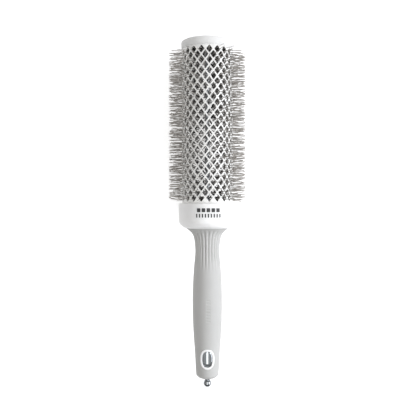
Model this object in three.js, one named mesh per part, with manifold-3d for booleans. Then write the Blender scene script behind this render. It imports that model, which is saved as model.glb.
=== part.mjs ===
// Round thermal hair brush with a 36 mm barrel, in millimetres.
// The brush lies along Y, its crown at +Y and its handle at -Y; +Z is the side of the release button.
// The origin is on the brush's axis, half way along its length.
import * as THREE from "three";
import { mergeVertices } from "three/addons/utils/BufferGeometryUtils.js";
import Module from "manifold-3d";

const wasm = await Module();
wasm.setup();

// ---- Driving dimensions ----------------------------------------------------------------------

const TAU = 2 * Math.PI;
const LENGTH = 243.7; // from the crown of the cap to the end of the ball
const GAP = 0.3; // air between pieces that are pressed, moulded or bonded together

const BARREL = { radius: 18, wall: 1, low: 4.3, high: 116.2 };
const LATTICE = { rows: 29, perRow: 20, pitch: 3.615, firstRow: 11.92, open: 0.72 };
const BRISTLE = { reach: 27.4, hub: 6, bore: 2.9, thickness: 1.2 };
const STEM = { wireRadius: 0.95, twistRadius: 1.15, turn: 11.5, low: -3.3, high: 117.6 };
const STEM_FERRULE = { radius: 3.6, bore: 2.5, low: -4, high: 6 };
const CAP = {
  radius: 18.57, edge: 0.8, flat: 6, crown: 0.2, // the crown's rise over the edge
  spigotLow: 115.3, spigotWall: 2, bossRadius: 4.4, boreTop: 118.6, ceiling: 119.6,
};
const COLLAR = { radius: 20.25, high: 8.15, edge: 0.5, seat: 4, shelf: -6.9, low: -9.4 };
const CORE = { headRadius: 14.9, headHigh: 1.2, neckRadius: 10.6, neckLow: -10, low: -112.6, skin: 1.9 };
const FLUTES = { count: 24, depth: 0.5, low: -41, full: -25, high: -11 };
const PIN = {
  radius: 1.75, high: -22, bore: 2.15, grooveRadius: 1.2,
  stop: { radius: 2.95, low: -25.7, high: -23.7 },
  chamber: { radius: 3.3, low: -93, high: -20 }, // where the stop ring runs
  counterbore: { radius: 3.75, high: -108.9 },
};
const EXIT_FERRULE = { low: -115.6, high: -111.5 };
const BALL = { radius: 2.83, tangRadius: 0.9, tangLength: 1.6 };
const BUTTON = {
  y: -100.3, halfWidth: 3.6, halfLength: 5.65, low: 5.4, wellFloor: 3.9, inset: 0.1, travel: 1,
};
const BEZEL = { halfWidth: 5.05, halfLength: 7.1, low: 5, proud: 0.2 };
const STIRRUP = { halfWidth: 3.4, low: -3.3, thickness: 1.2 };
const SPRING = { radius: 1, wire: 0.15, seat: 1.45, offset: 3.2, low: 3.2, turns: 2.5 };
const ABOVE_HANDLE = 12; // a height that clears the handle's surface, for cutting down into it

// Facets round each kind of round piece, and steps along each wire.
const FACETS = { shell: 32, skin: 48, core: 24, ferrule: 16, ball: 16, pin: 12, seat: 12, quarterOval: 12 };
const FACETS_PER_QUARTER = { bore: 3, wire: 2, slot: 4 };
const STEPS = { stem: 56, coil: 18, capEdge: 3, ball: 8, rubber: 6 };

// The outside of the grip from its end up to the collar, as [y, radius].
const GRIP_PROFILE = [
  [-115.75, 3.75], [-114.6, 5.9], [-112.7, 7.8], [-101.4, 8.55], [-84.4, 9.7], [-63.1, 10.4],
  [-41.9, 9.8], [-25.6, 8.5], [-18.5, 9.05], [-14.2, 10.15], [-11.5, 12.3], [-9.7, 15],
];

// Where the core's wall follows the grip's outside, and the collar's foot as [radius, y].
const CORE_STATIONS = [-112.6, -84.4, -63.1, -25.6, -14.2, -11.5];
const COLLAR_FOOT = [
  [15.2, -9.4], [16.5, -8.9], [17.7, -8], [18.6, -7.1], [19.4, -6.1], [19.95, -4.9], [20.25, -3.6],
];

const MATERIAL = {
  ceramic: new THREE.MeshStandardMaterial({ color: 0xf2f2f0, roughness: 0.25 }),
  whitePlastic: new THREE.MeshStandardMaterial({ color: 0xf4f4f2, roughness: 0.35 }),
  softTouch: new THREE.MeshStandardMaterial({ color: 0xc6c5c2, roughness: 0.7 }),
  corePlastic: new THREE.MeshStandardMaterial({ color: 0xd8d8d5, roughness: 0.5 }),
  nylon: new THREE.MeshStandardMaterial({ color: 0x8f8a84, roughness: 0.45 }),
  steel: new THREE.MeshStandardMaterial({ color: 0xb9bcc0, roughness: 0.3, metalness: 1 }),
  chrome: new THREE.MeshStandardMaterial({ color: 0xe6e8ea, roughness: 0.06, metalness: 1 }),
  rubber: new THREE.MeshStandardMaterial({ color: 0x2b2b2b, roughness: 0.8 }),
};

// ---- Helpers ---------------------------------------------------------------------------------

const brush = new THREE.Group();

// Adds one piece of the brush as a named mesh.
function add(name, geometry, material) {
  const mesh = new THREE.Mesh(geometry, material);
  mesh.name = name;
  brush.add(mesh);
}

// A solid turned about Y. The outline's [radius, y] corners run with the solid on their left when
// radius is drawn to the right and y up; an outline that starts on the axis also ends on it.
function turned(outline, segments) {
  const points = outline.map(([radius, y]) => new THREE.Vector2(radius, y));
  if (outline[0][0] > 0) points.push(points[0].clone());
  return new THREE.LatheGeometry(points, segments);
}

// A plain tube or disc about Y.
function ring(inner, outer, low, high, segments) {
  return turned([[inner, low], [outer, low], [outer, high], [inner, high]], segments);
}

// A closed geometry as a manifold-3d solid, for cutting and joining.
function solid(geometry) {
  const bare = geometry.clone();
  bare.deleteAttribute("normal");
  bare.deleteAttribute("uv");
  const merged = mergeVertices(bare, 1e-4);
  return new wasm.Manifold(new wasm.Mesh({
    numProp: 3,
    vertProperties: new Float32Array(merged.attributes.position.array),
    triVerts: new Uint32Array(merged.index.array),
  }));
}

// A manifold-3d solid as a three.js geometry.
function geometryOf(cut) {
  const { vertProperties, triVerts } = cut.getMesh();
  const geometry = new THREE.BufferGeometry();
  geometry.setAttribute("position", new THREE.BufferAttribute(vertProperties, 3));
  geometry.setIndex(new THREE.BufferAttribute(triVerts, 1));
  geometry.computeVertexNormals();
  return geometry;
}

// An upright oval prism between two heights, centred under the button.
function ovalPrism(halfWidth, halfLength, low, high) {
  const oval = new THREE.Shape().absellipse(0, 0, halfWidth, halfLength, 0, TAU);
  const options = { depth: high - low, bevelEnabled: false, curveSegments: FACETS.quarterOval };
  return new THREE.ExtrudeGeometry(oval, options).translate(0, BUTTON.y, low);
}

// The part of the handle's outside that stands over the button, moved outwards by an offset.
function handleSkin(offset) {
  const near = GRIP_PROFILE.filter(([y]) => Math.abs(y - BUTTON.y) < 2 * BEZEL.halfLength + 2);
  return turned([
    [0, near[0][0]], ...near.map(([y, radius]) => [radius + offset, y]), [0, near.at(-1)[0]],
  ], FACETS.skin);
}

// ---- Barrel and bristles ---------------------------------------------------------------------

// The perforated sleeve. Diamond holes stand in staggered rows; the strip between a hole and the
// ones above it is three flat patches, and the rows past either end are drawn in to the plain rim.
function barrelGeometry() {
  const { rows, perRow, pitch, firstRow, open } = LATTICE;
  const column = TAU / perRow / 2;
  const offsets = { north: [0, open], east: [open, 0], south: [0, -open], west: [-open, 0] };
  const positions = [];

  const corner = (radius, row, step, side) => {
    const [across, along] = row >= 0 && row < rows ? offsets[side] : [0, 0];
    const rim = row < 0 ? BARREL.low : BARREL.high;
    const y = row >= 0 && row < rows ? firstRow + (row + along) * pitch : rim;
    const angle = (step + 0.5 + across) * column;
    return new THREE.Vector3(radius * Math.sin(angle), y, radius * Math.cos(angle));
  };
  const triangle = (a, b, c) => {
    const collapsed = a.equals(b) || b.equals(c) || c.equals(a);
    if (!collapsed) positions.push(...a, ...b, ...c);
  };
  const patch = (a, b, c, d) => {
    triangle(a, b, c);
    triangle(a, c, d);
  };

  for (const radius of [BARREL.radius, BARREL.radius - BARREL.wall]) {
    const face = (...corners) => patch(...(radius === BARREL.radius ? corners : corners.reverse()));
    for (let row = -2; row < rows; row++) {
      for (let step = Math.abs(row) % 2; step < 2 * perRow; step += 2) {
        const around = (right) => (step + right + 2 * perRow) % (2 * perRow);
        const at = (up, right, side) => corner(radius, row + up, around(right), side);
        face(at(0, 0, "east"), at(1, 1, "south"), at(1, 1, "west"), at(0, 0, "north"));
        face(at(0, 0, "north"), at(1, -1, "east"), at(1, -1, "south"), at(0, 0, "west"));
        face(at(0, 0, "north"), at(1, 1, "west"), at(2, 0, "south"), at(1, -1, "east"));
      }
    }
  }
  const outer = (...place) => corner(BARREL.radius, ...place);
  const inner = (...place) => corner(BARREL.radius - BARREL.wall, ...place);
  const sides = Object.keys(offsets);
  for (let row = 0; row < rows; row++) {
    for (let step = row % 2; step < 2 * perRow; step += 2) {
      sides.forEach((side, i) => {
        const next = sides[(i + 1) % sides.length];
        patch(outer(row, step, side), inner(row, step, side), inner(row, step, next), outer(row, step, next));
      });
    }
  }
  for (const row of [-1, rows]) {
    for (let step = 0; step < 2 * perRow; step++) {
      const next = (step + 1) % (2 * perRow);
      const rim = [outer(row, step), inner(row, step), inner(row, next), outer(row, next)];
      patch(...(row < 0 ? rim : rim.reverse()));
    }
  }
  const geometry = new THREE.BufferGeometry();
  geometry.setAttribute("position", new THREE.Float32BufferAttribute(positions, 3));
  return mergeVertices(geometry, 1e-4);
}

// One row of bristles: a hub round the stem, with a pointed tuft for each hole of the row.
function bristleRowGeometry(row) {
  const step = TAU / LATTICE.perRow;
  const first = step / 4 + (row % 2) * (step / 2);
  const outline = [];
  for (let tuft = 0; tuft < LATTICE.perRow; tuft++) {
    const tip = first + tuft * step;
    const valley = tip + step / 2;
    outline.push(new THREE.Vector2(BRISTLE.reach * Math.sin(tip), BRISTLE.reach * Math.cos(tip)));
    outline.push(new THREE.Vector2(BRISTLE.hub * Math.sin(valley), BRISTLE.hub * Math.cos(valley)));
  }
  const star = new THREE.Shape(outline);
  star.holes.push(new THREE.Path().absarc(0, 0, BRISTLE.bore, 0, TAU));
  const y = LATTICE.firstRow + row * LATTICE.pitch;
  const options = {
    depth: BRISTLE.thickness, bevelEnabled: false, curveSegments: FACETS_PER_QUARTER.bore,
  };
  return new THREE.ExtrudeGeometry(star, options)
    .rotateX(Math.PI / 2)
    .translate(0, y + BRISTLE.thickness / 2, 0);
}

// One of the two wires twisted together that carry the bristle rows.
class Helix extends THREE.Curve {
  constructor(start) {
    super();
    this.start = start;
  }

  getPoint(t, target = new THREE.Vector3()) {
    const length = STEM.high - STEM.low;
    const angle = this.start + TAU * t * (length / STEM.turn);
    const [x, z] = [STEM.twistRadius * Math.sin(angle), STEM.twistRadius * Math.cos(angle)];
    return target.set(x, STEM.low + t * length, z);
  }
}

function stemWireGeometry(start) {
  const section = new THREE.Shape().absarc(0, 0, STEM.wireRadius, 0, TAU);
  return new THREE.ExtrudeGeometry(section, {
    extrudePath: new Helix(start), steps: STEPS.stem, curveSegments: FACETS_PER_QUARTER.wire,
  });
}

// The cap: a shallow crown with a rounded edge, a ring that plugs the barrel, and a boss for the stem.
function endCapGeometry() {
  const crown = LENGTH / 2;
  const shoulder = crown - CAP.crown;
  const skirt = BARREL.high + GAP;
  const plug = BARREL.radius - BARREL.wall - GAP;
  const bossBore = STEM.twistRadius + STEM.wireRadius + 2 * GAP;
  const edge = Array.from({ length: STEPS.capEdge + 1 }, (_, i) => {
    const turn = (i / STEPS.capEdge) * (TAU / 4);
    return [CAP.radius - CAP.edge * (1 - Math.cos(turn)), shoulder - CAP.edge * (1 - Math.sin(turn))];
  });
  return turned([
    [0, CAP.boreTop], [bossBore, CAP.boreTop], [bossBore, CAP.spigotLow],
    [CAP.bossRadius, CAP.spigotLow], [CAP.bossRadius, CAP.ceiling], [plug - CAP.spigotWall, CAP.ceiling],
    [plug - CAP.spigotWall, CAP.spigotLow], [plug, CAP.spigotLow], [plug, skirt],
    [CAP.radius, skirt], ...edge, [CAP.flat, crown], [0, crown],
  ], FACETS.shell);
}

// ---- Collar and handle -----------------------------------------------------------------------

// The collar: a cup whose rim holds the barrel and whose foot closes over the top of the grip.
function collarGeometry() {
  const bore = CORE.neckRadius + GAP;
  const cavity = CORE.headRadius + GAP;
  const socket = BARREL.radius + GAP;
  return turned([
    [bore, COLLAR.low], ...COLLAR_FOOT, [COLLAR.radius, COLLAR.high - COLLAR.edge],
    [COLLAR.radius - COLLAR.edge / 4, COLLAR.high - COLLAR.edge / 4],
    [COLLAR.radius - COLLAR.edge, COLLAR.high], [socket, COLLAR.high], [socket, COLLAR.seat],
    [cavity, COLLAR.seat], [cavity, COLLAR.shelf], [bore, COLLAR.shelf],
  ], FACETS.shell);
}

// The core's outside under the grip, as [radius, y] from its low end upwards.
function coreWall(offset) {
  return CORE_STATIONS.map((y) => [gripRadius(y) - CORE.skin + offset, y]);
}

// The grip's outer radius at a height on the handle, straight between the profile's stations.
function gripRadius(y) {
  const above = GRIP_PROFILE.findIndex(([station]) => station >= y);
  const [high, highRadius] = GRIP_PROFILE[above];
  const [low, lowRadius] = GRIP_PROFILE[above - 1];
  return THREE.MathUtils.mapLinear(y, low, high, lowRadius, highRadius);
}

// The rigid core of the handle: a head inside the collar, and a long shank that is bored for the
// pin from its free end and pocketed for the button's bezel, well, springs and brake stirrup.
function handleCoreGeometry() {
  const socket = STEM_FERRULE.radius + GAP;
  const shank = turned([
    [0, PIN.chamber.high], [PIN.chamber.radius, PIN.chamber.high], [PIN.chamber.radius, PIN.chamber.low],
    [PIN.bore, PIN.chamber.low], [PIN.bore, PIN.counterbore.high],
    [PIN.counterbore.radius, PIN.counterbore.high], [PIN.counterbore.radius, CORE.low],
    ...coreWall(0), [CORE.neckRadius, CORE.neckLow], [CORE.neckRadius, COLLAR.shelf + GAP],
    [CORE.headRadius, COLLAR.shelf + GAP], [CORE.headRadius, CORE.headHigh],
    [socket, CORE.headHigh], [socket, STEM_FERRULE.low - GAP], [0, STEM_FERRULE.low - GAP],
  ], FACETS.core);
  const bezelPocket = ovalPrism(BEZEL.halfWidth + GAP, BEZEL.halfLength + GAP, BEZEL.low - GAP, ABOVE_HANDLE);
  const well = ovalPrism(BUTTON.halfWidth + GAP, BUTTON.halfLength + GAP, BUTTON.wellFloor, ABOVE_HANDLE);
  const slotLow = STIRRUP.low - BUTTON.travel - GAP;
  const slot = new THREE.BoxGeometry(
    2 * (STIRRUP.halfWidth + GAP), STIRRUP.thickness + 2 * GAP, ABOVE_HANDLE - slotLow,
  ).translate(0, BUTTON.y, (ABOVE_HANDLE + slotLow) / 2);
  let core = solid(shank).subtract(solid(bezelPocket)).subtract(solid(well)).subtract(solid(slot));
  for (const side of [-1, 1]) {
    const seat = new THREE.CylinderGeometry(SPRING.seat, SPRING.seat, ABOVE_HANDLE, FACETS.seat)
      .rotateX(Math.PI / 2)
      .translate(0, BUTTON.y + side * SPRING.offset, SPRING.low - GAP + ABOVE_HANDLE / 2);
    core = core.subtract(solid(seat));
  }
  return geometryOf(core);
}

// The soft grip: a sleeve moulded round the core, with shallow flutes that run down from the collar
// and fade out, and an opening for the bezel.
function gripGeometry() {
  const endHole = PIN.counterbore.radius;
  const sleeve = turned([
    ...GRIP_PROFILE.map(([y, radius]) => [radius, y]),
    [CORE.neckRadius + GAP, GRIP_PROFILE.at(-1)[0]], [CORE.neckRadius + GAP, CORE.neckLow],
    ...coreWall(GAP).reverse(), [coreWall(GAP)[0][0], CORE.low - GAP], [endHole, CORE.low - GAP],
  ], 2 * FLUTES.count);
  const position = sleeve.attributes.position;
  for (let i = 0; i < position.count; i++) {
    const [x, y, z] = [position.getX(i), position.getY(i), position.getZ(i)];
    const radius = Math.hypot(x, z);
    const groove = Math.round((Math.atan2(x, z) / TAU) * 2 * FLUTES.count) % 2 === 0;
    const fluted = y > FLUTES.low && y < FLUTES.high && radius > gripRadius(y) - GAP;
    if (groove && fluted) {
      const shrink = 1 - (FLUTES.depth * THREE.MathUtils.smoothstep(y, FLUTES.low, FLUTES.full)) / radius;
      position.setXYZ(i, x * shrink, y, z * shrink);
    }
  }
  const opening = ovalPrism(BEZEL.halfWidth + GAP, BEZEL.halfLength + GAP, SPRING.low, ABOVE_HANDLE);
  return geometryOf(solid(sleeve).subtract(solid(opening)));
}

// ---- Button and its lock ---------------------------------------------------------------------

// The oval ring let into the grip, its top following the handle a little proud of it.
function bezelGeometry() {
  const outer = ovalPrism(BEZEL.halfWidth, BEZEL.halfLength, BEZEL.low, ABOVE_HANDLE);
  const opening = ovalPrism(BUTTON.halfWidth + GAP, BUTTON.halfLength + GAP, 0, 2 * ABOVE_HANDLE);
  const followed = solid(outer).intersect(solid(handleSkin(BEZEL.proud)));
  return geometryOf(followed.subtract(solid(opening)));
}

// The oval push-button, its top following the handle a little below the bezel.
function buttonGeometry() {
  const plug = ovalPrism(BUTTON.halfWidth, BUTTON.halfLength, BUTTON.low, ABOVE_HANDLE);
  return geometryOf(solid(plug).intersect(solid(handleSkin(-BUTTON.inset))));
}

// The stirrup under the button: a plate with a slot that the pin runs through. Its lower bar is
// drawn up against the pin as a brake, and pressing the button moves it clear.
function stirrupGeometry() {
  const { halfWidth, low, thickness } = STIRRUP;
  const high = BUTTON.low - GAP;
  const slot = PIN.radius + GAP;
  const corners = [[-halfWidth, low], [halfWidth, low], [halfWidth, high], [-halfWidth, high]];
  const plate = new THREE.Shape(corners.map(([x, z]) => new THREE.Vector2(x, z)));
  const opening = new THREE.Path()
    .absarc(0, BUTTON.travel, slot, 0, Math.PI)
    .absarc(0, 0, slot, Math.PI, TAU)
    .closePath();
  plate.holes.push(opening);
  const options = { depth: thickness, bevelEnabled: false, curveSegments: FACETS_PER_QUARTER.slot };
  return new THREE.ExtrudeGeometry(plate, options)
    .rotateX(Math.PI / 2)
    .translate(0, BUTTON.y + thickness / 2, 0);
}

// A small coil spring standing under one end of the button.
class Coil extends THREE.Curve {
  getPoint(t, target = new THREE.Vector3()) {
    const height = BUTTON.low - GAP - SPRING.low - 2 * SPRING.wire;
    const angle = TAU * SPRING.turns * t;
    const [x, y] = [SPRING.radius * Math.cos(angle), SPRING.radius * Math.sin(angle)];
    return target.set(x, y, SPRING.wire + t * height);
  }
}

function springGeometry(side) {
  const section = new THREE.Shape().absarc(0, 0, SPRING.wire, 0, TAU);
  return new THREE.ExtrudeGeometry(section, {
    extrudePath: new Coil(), steps: STEPS.coil, curveSegments: FACETS_PER_QUARTER.wire,
  }).translate(0, BUTTON.y + side * SPRING.offset, SPRING.low);
}

// ---- Sectioning pin --------------------------------------------------------------------------

const BALL_CENTRE = BALL.radius - LENGTH / 2;
const NECK = BALL_CENTRE + Math.sqrt(BALL.radius ** 2 - PIN.radius ** 2);

// The rod: a tang in the ball at its low end, and a groove for the stop ring near its high end.
function pinRodGeometry() {
  const { radius, high, stop, grooveRadius } = PIN;
  return turned([
    [0, NECK - BALL.tangLength], [BALL.tangRadius, NECK - BALL.tangLength], [BALL.tangRadius, NECK + GAP],
    [radius, NECK + GAP], [radius, stop.low - GAP], [grooveRadius, stop.low - GAP],
    [grooveRadius, stop.high + GAP], [radius, stop.high + GAP], [radius, high], [0, high],
  ], FACETS.pin);
}

// The ball: a sphere flattened where it meets the rod, and bored for the rod's tang.
function pinBallGeometry() {
  const first = -TAU / 4;
  const last = Math.acos(PIN.radius / BALL.radius);
  const sphere = Array.from({ length: STEPS.ball + 1 }, (_, i) => {
    const angle = THREE.MathUtils.lerp(first, last, i / STEPS.ball);
    return [i === 0 ? 0 : BALL.radius * Math.cos(angle), BALL_CENTRE + BALL.radius * Math.sin(angle)];
  });
  const bore = BALL.tangRadius + GAP;
  const floor = NECK - BALL.tangLength - GAP;
  return turned([...sphere, [bore, NECK], [bore, floor], [0, floor]], FACETS.ball);
}

// The rubber ring that grips the pin, seated in the counterbore above the exit ferrule.
function frictionRingGeometry() {
  const inner = PIN.radius + GAP;
  const outer = PIN.counterbore.radius - GAP;
  const tube = (outer - inner) / 2;
  const centre = PIN.counterbore.high - GAP - tube;
  const section = Array.from({ length: STEPS.rubber }, (_, i) => {
    const angle = (i / STEPS.rubber) * TAU;
    return [(inner + outer) / 2 + tube * Math.cos(angle), centre + tube * Math.sin(angle)];
  });
  return turned(section, FACETS.pin);
}

// ---- Assembly --------------------------------------------------------------------------------

add("barrel", barrelGeometry(), MATERIAL.ceramic);
add("end_cap", endCapGeometry(), MATERIAL.whitePlastic);
for (let row = 0; row < LATTICE.rows; row++) {
  add(`bristle_row_${String(row + 1).padStart(2, "0")}`, bristleRowGeometry(row), MATERIAL.nylon);
}
add("stem_wire_a", stemWireGeometry(0), MATERIAL.steel);
add("stem_wire_b", stemWireGeometry(Math.PI), MATERIAL.steel);
add("stem_ferrule", ring(
  STEM_FERRULE.bore, STEM_FERRULE.radius, STEM_FERRULE.low, STEM_FERRULE.high, FACETS.ferrule,
), MATERIAL.steel);
add("collar", collarGeometry(), MATERIAL.whitePlastic);
add("handle_core", handleCoreGeometry(), MATERIAL.corePlastic);
add("grip", gripGeometry(), MATERIAL.softTouch);
add("button_bezel", bezelGeometry(), MATERIAL.whitePlastic);
add("release_button", buttonGeometry(), MATERIAL.chrome);
add("brake_stirrup", stirrupGeometry(), MATERIAL.steel);
add("button_spring_a", springGeometry(-1), MATERIAL.steel);
add("button_spring_b", springGeometry(1), MATERIAL.steel);
add("pin_rod", pinRodGeometry(), MATERIAL.chrome);
add("pin_ball", pinBallGeometry(), MATERIAL.chrome);
add("pin_stop", ring(
  PIN.grooveRadius + GAP, PIN.stop.radius, PIN.stop.low, PIN.stop.high, FACETS.pin,
), MATERIAL.steel);
add("friction_ring", frictionRingGeometry(), MATERIAL.rubber);
add("exit_ferrule", ring(
  PIN.radius + GAP, PIN.counterbore.radius - GAP, EXIT_FERRULE.low, EXIT_FERRULE.high, FACETS.ferrule,
), MATERIAL.steel);

export default brush;
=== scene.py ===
"""Looks of a round thermal hair brush with a 36 mm barrel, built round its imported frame.

The brush lies along Y with its crown at +Y, and +Z is the side of the release button. Sizes in this
file are millimetres unless a name says otherwise, and become metres where a mesh is made. Every
surface is worked out with numpy as a function of two parameters on a grid.
"""

import logging
import math
from dataclasses import dataclass
from enum import Enum
from typing import Callable, Sequence

import bmesh
import bpy
import numpy as np
from mathutils import Matrix, Vector


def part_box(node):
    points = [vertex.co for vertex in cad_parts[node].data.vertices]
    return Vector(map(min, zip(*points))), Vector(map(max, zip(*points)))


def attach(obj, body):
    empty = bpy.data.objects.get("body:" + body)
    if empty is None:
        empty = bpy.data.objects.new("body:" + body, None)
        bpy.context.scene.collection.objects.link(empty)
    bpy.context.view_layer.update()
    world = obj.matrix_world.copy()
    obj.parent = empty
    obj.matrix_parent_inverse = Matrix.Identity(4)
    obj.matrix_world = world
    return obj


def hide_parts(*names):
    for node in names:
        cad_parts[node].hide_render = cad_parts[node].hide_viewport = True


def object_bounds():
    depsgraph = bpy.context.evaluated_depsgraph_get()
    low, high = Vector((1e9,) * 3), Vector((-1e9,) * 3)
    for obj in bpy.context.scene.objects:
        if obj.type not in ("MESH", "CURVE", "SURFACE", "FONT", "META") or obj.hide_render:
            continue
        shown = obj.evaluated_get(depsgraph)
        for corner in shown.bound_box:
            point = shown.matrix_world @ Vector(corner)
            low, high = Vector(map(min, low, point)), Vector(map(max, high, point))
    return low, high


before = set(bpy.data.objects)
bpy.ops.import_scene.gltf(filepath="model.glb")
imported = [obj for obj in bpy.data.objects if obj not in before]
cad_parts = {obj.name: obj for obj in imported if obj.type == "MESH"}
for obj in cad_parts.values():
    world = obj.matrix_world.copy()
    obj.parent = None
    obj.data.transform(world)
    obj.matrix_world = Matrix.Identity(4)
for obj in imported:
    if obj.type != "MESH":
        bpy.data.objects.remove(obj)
CAD_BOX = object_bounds()

MM = 0.001
TAU = 2.0 * math.pi
OVAL_POWER = 2.45
WHITE = (1.0, 1.0, 1.0, 1.0)
NOISE_REACH = (0.3, 0.7)  # what a noise mostly stays between
COAT_ROUGHNESS = 0.12
SMOOTHEST = 0.02
MILK_DEPTH = 2.5  # how far light travels in milky plastic, in millimetres
log = logging.getLogger("brush")


class Body(str, Enum):
    """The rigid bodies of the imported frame."""

    BRUSH = "brush"
    BUTTON = "button"
    PIN = "sectioning_pin"


# ---- Small helpers -------------------------------------------------------------------------------


def linear(hex_colour: str) -> tuple[float, float, float, float]:
    """Turns an sRGB hex colour into the linear colour that a shader socket takes.

    Args:
        hex_colour: Six hexadecimal digits.

    Returns:
        Linear red, green and blue, and an alpha of 1.
    """
    shares = np.array([int(hex_colour[i : i + 2], 16) for i in (0, 2, 4)]) / 255.0
    straight = np.where(shares <= 0.04045, shares / 12.92, ((shares + 0.055) / 1.055) ** 2.4)
    return (*(float(share) for share in straight), 1.0)


def add_node(
    tree: bpy.types.NodeTree, kind: str, inputs: dict[str | int, object] | None = None, **settings: object
) -> bpy.types.Node:
    """Adds a node with its settings, socket values and links.

    Args:
        tree: The node tree that takes the node.
        kind: The node's type name.
        inputs: What each named or numbered input gets: another node's output, or a value.
        **settings: Attributes of the node, or values of its inputs with spaces written as "_".

    Returns:
        The new node.
    """
    node = tree.nodes.new(kind)
    for key, value in settings.items():
        if hasattr(node, key):
            setattr(node, key, value)
        else:
            node.inputs[key.replace("_", " ")].default_value = value
    for key, given in (inputs or {}).items():
        if isinstance(given, bpy.types.NodeSocket):
            tree.links.new(given, node.inputs[key])
        else:
            node.inputs[key].default_value = given
    return node


def noise(
    tree: bpy.types.NodeTree, place: bpy.types.NodeSocket, size: float, detail: float
) -> bpy.types.NodeSocket:
    """The output of a noise whose features are about size millimetres apart."""
    kind, scale = "ShaderNodeTexNoise", 1 / (size * MM)
    return add_node(tree, kind, {"Vector": place}, Scale=scale, Detail=detail).outputs["Fac"]


def remapped(
    tree: bpy.types.NodeTree,
    value: bpy.types.NodeSocket,
    low: float,
    high: float,
    reach: tuple[float, float] = NOISE_REACH,
) -> bpy.types.NodeSocket:
    """Maps a value in a straight line, and holds it level outside the range it comes from.

    Args:
        tree: The node tree that takes the node.
        value: The output to map.
        low: What the start of the range becomes.
        high: What its end becomes.
        reach: The range.

    Returns:
        The mapped output.
    """
    ends = {"From Min": reach[0], "From Max": reach[1], "To Min": low, "To Max": high}
    return add_node(tree, "ShaderNodeMapRange", {"Value": value, **ends}).outputs["Result"]


def smooth(value: np.ndarray, start: float, end: float) -> np.ndarray:
    """Rises from 0 at start to 1 at end along 3t^2 - 2t^3, and is level outside them."""
    t = np.clip((value - start) / (end - start), 0.0, 1.0)
    return t * t * (3.0 - 2.0 * t)


def curve_through(stations: Sequence[tuple[float, float]], places: np.ndarray) -> np.ndarray:
    """A smooth height over a line of stations.

    Between two stations it is the cubic that has their heights, and at each station the slope of
    the line from the station before to the station after.

    Args:
        stations: (place, height) pairs in rising order of place.
        places: Where the height is wanted.

    Returns:
        The height at each place.
    """
    x, y = np.array(stations, float).T
    slope = np.gradient(y, x)
    i = np.clip(np.searchsorted(x, places) - 1, 0, len(x) - 2)
    width = x[i + 1] - x[i]
    t = (places - x[i]) / width
    rise = (1 + 2 * t) * (1 - t) ** 2 * y[i] + t**2 * (3 - 2 * t) * y[i + 1]
    return rise + width * (t * (1 - t) ** 2 * slope[i] - t**2 * (1 - t) * slope[i + 1])


def filleted(corners: Sequence[tuple[float, float, float]], steps: int = 5) -> np.ndarray:
    """Rounds the corners of an open outline.

    Each corner becomes a curve from a point on the side before it to a point on the side after it,
    both as far from the corner as its fillet says: the quadratic curve that the corner pulls.

    Args:
        corners: (radius, y, fillet) of each corner, fillet 0 for one that stays sharp.
        steps: How many pieces a rounded corner has.

    Returns:
        The outline's points as rows of (radius, y).
    """
    points = np.array([corner[:2] for corner in corners], float)
    outline = [points[:1]]
    t = np.linspace(0.0, 1.0, steps + 1)[:, None]
    for i in range(1, len(points) - 1):
        fillet = corners[i][2]
        if fillet == 0:
            outline.append(points[i : i + 1])
            continue
        before = points[i - 1] - points[i]
        after = points[i + 1] - points[i]
        start = points[i] + before * min(0.5, fillet / np.linalg.norm(before))
        end = points[i] + after * min(0.5, fillet / np.linalg.norm(after))
        outline.append((1 - t) ** 2 * start + 2 * t * (1 - t) * points[i] + t**2 * end)
    outline.append(points[-1:])
    return np.concatenate(outline)


def around(radius: np.ndarray, angle: np.ndarray, y: np.ndarray) -> np.ndarray:
    """Points about Y, (radius sin angle, y, radius cos angle), along a new last axis."""
    return np.stack(np.broadcast_arrays(radius * np.sin(angle), y, radius * np.cos(angle)), axis=-1)


def grid_faces(rows: int, columns: int, wrap_rows: bool = False) -> np.ndarray:
    """Four-cornered faces of a grid of points stored row by row, whose rows are closed.

    Args:
        rows: Number of rows of points.
        columns: Number of points in a row.
        wrap_rows: Whether the last row joins the first.

    Returns:
        The faces' corner indices, one face in each row.
    """
    row = np.arange(rows if wrap_rows else rows - 1)[:, None]
    column = np.arange(columns)[None, :]
    next_row, next_column = (row + 1) % rows, (column + 1) % columns
    corners = [row * columns + column, row * columns + next_column]
    corners += [next_row * columns + next_column, next_row * columns + column]
    return np.stack(corners, axis=-1).reshape(-1, 4)


def copied(faces: np.ndarray, count: int, size: int) -> np.ndarray:
    """The faces of count equal parts of size points each, from those of the first."""
    return (faces[None] + (np.arange(count) * size)[:, None, None]).reshape(-1, faces.shape[1])


@dataclass(frozen=True)
class Part:
    """What a piece is: its name, finish and body, the CAD nodes it stands for, and its slot.

    The slot is the record's material slot, or None for the first node's; it is not used.
    """

    name: str
    material: bpy.types.Material
    body: Body
    nodes: tuple[str, ...] = ()
    slot: str | None = None


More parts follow.
